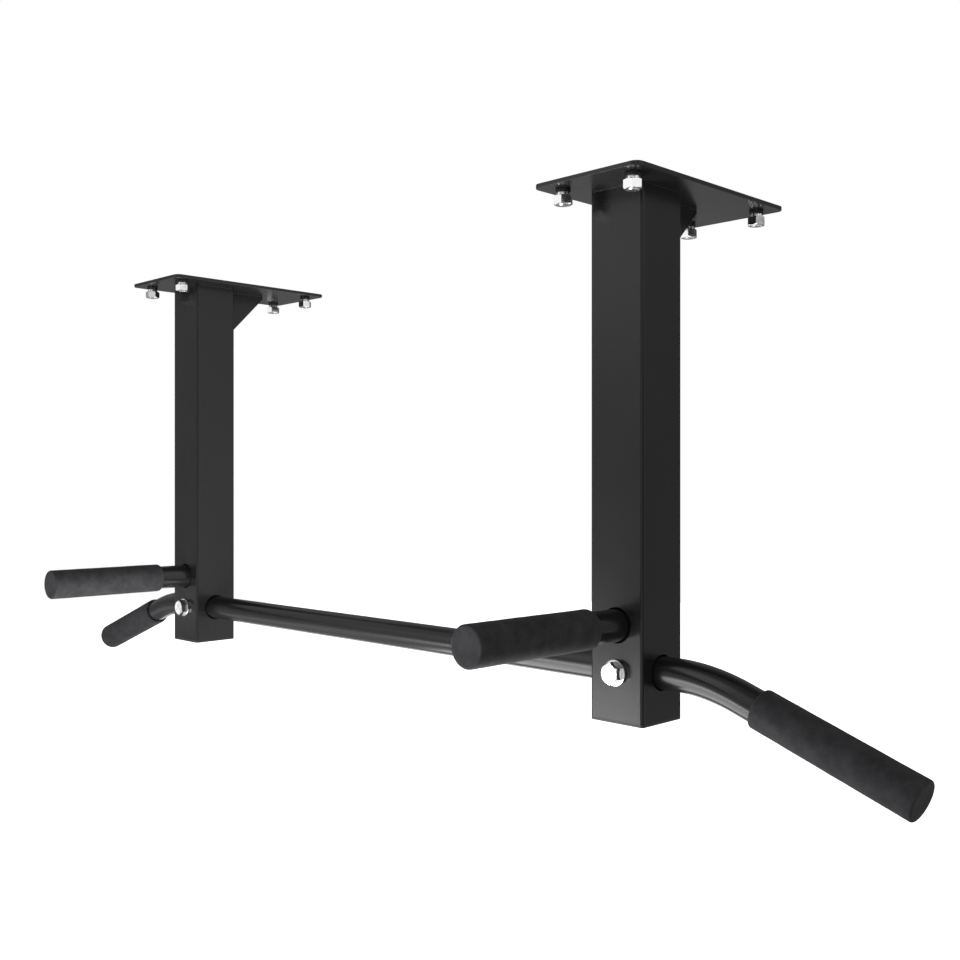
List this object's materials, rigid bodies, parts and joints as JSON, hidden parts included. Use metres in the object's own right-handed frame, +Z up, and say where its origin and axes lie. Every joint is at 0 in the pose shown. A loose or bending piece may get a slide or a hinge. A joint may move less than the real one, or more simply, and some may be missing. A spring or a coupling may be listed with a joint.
{
  "type": "ceiling-mounted pull-up bar",
  "caption": "Ceiling-mounted pull-up bar: square posts on bolted plates carry a round bar with drooping, foam-gripped ends and a forward parallel handle at each side.",
  "frame": {"origin": "on the ceiling plane, which holds the top faces of the ceiling plates, midway between the axes of the posts", "axes": "+X runs along the bar to the right-hand post, seen from the front; +Y points to the rear, away from the parallel handles; +Z points up, into the ceiling"},
  "size_m": [1.3034, 0.384, 0.5325],
  "materials": {
    "black_powder_coat": "semi-gloss powder coat on steel",
    "black_foam": "matte closed-cell foam rubber",
    "black_plastic": "fine moulded texture",
    "bright_zinc": "bright zinc plating on steel",
    "black_phosphate": "dark phosphated steel",
    "plain_steel": "turned steel, hidden in use"
  },
  "bodies": {
    "root": {"ceiling_plate_left": "black_powder_coat", "ceiling_plate_right": "black_powder_coat", "post_left": "black_powder_coat", "post_right": "black_powder_coat", "gusset_left": "black_powder_coat", "gusset_right": "black_powder_coat", "post_end_cap_left": "black_plastic", "post_end_cap_right": "black_plastic", "pull_up_bar": "black_powder_coat", "bar_grip_left": "black_foam", "bar_grip_right": "black_foam", "parallel_handle_left": "black_powder_coat", "parallel_handle_right": "black_powder_coat", "handle_grip_left": "black_foam", "handle_grip_right": "black_foam", "handle_insert_left": "plain_steel", "handle_insert_right": "plain_steel", "handle_bolt_left": "bright_zinc", "handle_bolt_right": "bright_zinc", "lock_bolt_left": "bright_zinc", "lock_bolt_right": "bright_zinc", "lock_washer_front_left": "bright_zinc", "lock_washer_front_right": "bright_zinc", "lock_washer_rear_left": "bright_zinc", "lock_washer_rear_right": "bright_zinc", "lock_nut_left": "bright_zinc", "lock_nut_right": "bright_zinc", "anchor_stud_left_front_inner": "bright_zinc", "anchor_stud_left_front_outer": "bright_zinc", "anchor_stud_left_rear_inner": "bright_zinc", "anchor_stud_left_rear_outer": "bright_zinc", "anchor_stud_right_front_inner": "bright_zinc", "anchor_stud_right_front_outer": "bright_zinc", "anchor_stud_right_rear_inner": "bright_zinc", "anchor_stud_right_rear_outer": "bright_zinc", "flat_washer_left_front_inner": "black_phosphate", "flat_washer_left_front_outer": "black_phosphate", "flat_washer_left_rear_inner": "black_phosphate", "flat_washer_left_rear_outer": "black_phosphate", "flat_washer_right_front_inner": "black_phosphate", "flat_washer_right_front_outer": "black_phosphate", "flat_washer_right_rear_inner": "black_phosphate", "flat_washer_right_rear_outer": "black_phosphate", "spring_washer_left_front_inner": "bright_zinc", "spring_washer_left_front_outer": "bright_zinc", "spring_washer_left_rear_inner": "bright_zinc", "spring_washer_left_rear_outer": "bright_zinc", "spring_washer_right_front_inner": "bright_zinc", "spring_washer_right_front_outer": "bright_zinc", "spring_washer_right_rear_inner": "bright_zinc", "spring_washer_right_rear_outer": "bright_zinc", "anchor_nut_left_front_inner": "bright_zinc", "anchor_nut_left_front_outer": "bright_zinc", "anchor_nut_left_rear_inner": "bright_zinc", "anchor_nut_left_rear_outer": "bright_zinc", "anchor_nut_right_front_inner": "bright_zinc", "anchor_nut_right_front_outer": "bright_zinc", "anchor_nut_right_rear_inner": "bright_zinc", "anchor_nut_right_rear_outer": "bright_zinc"}
  },
  "joints": []
}
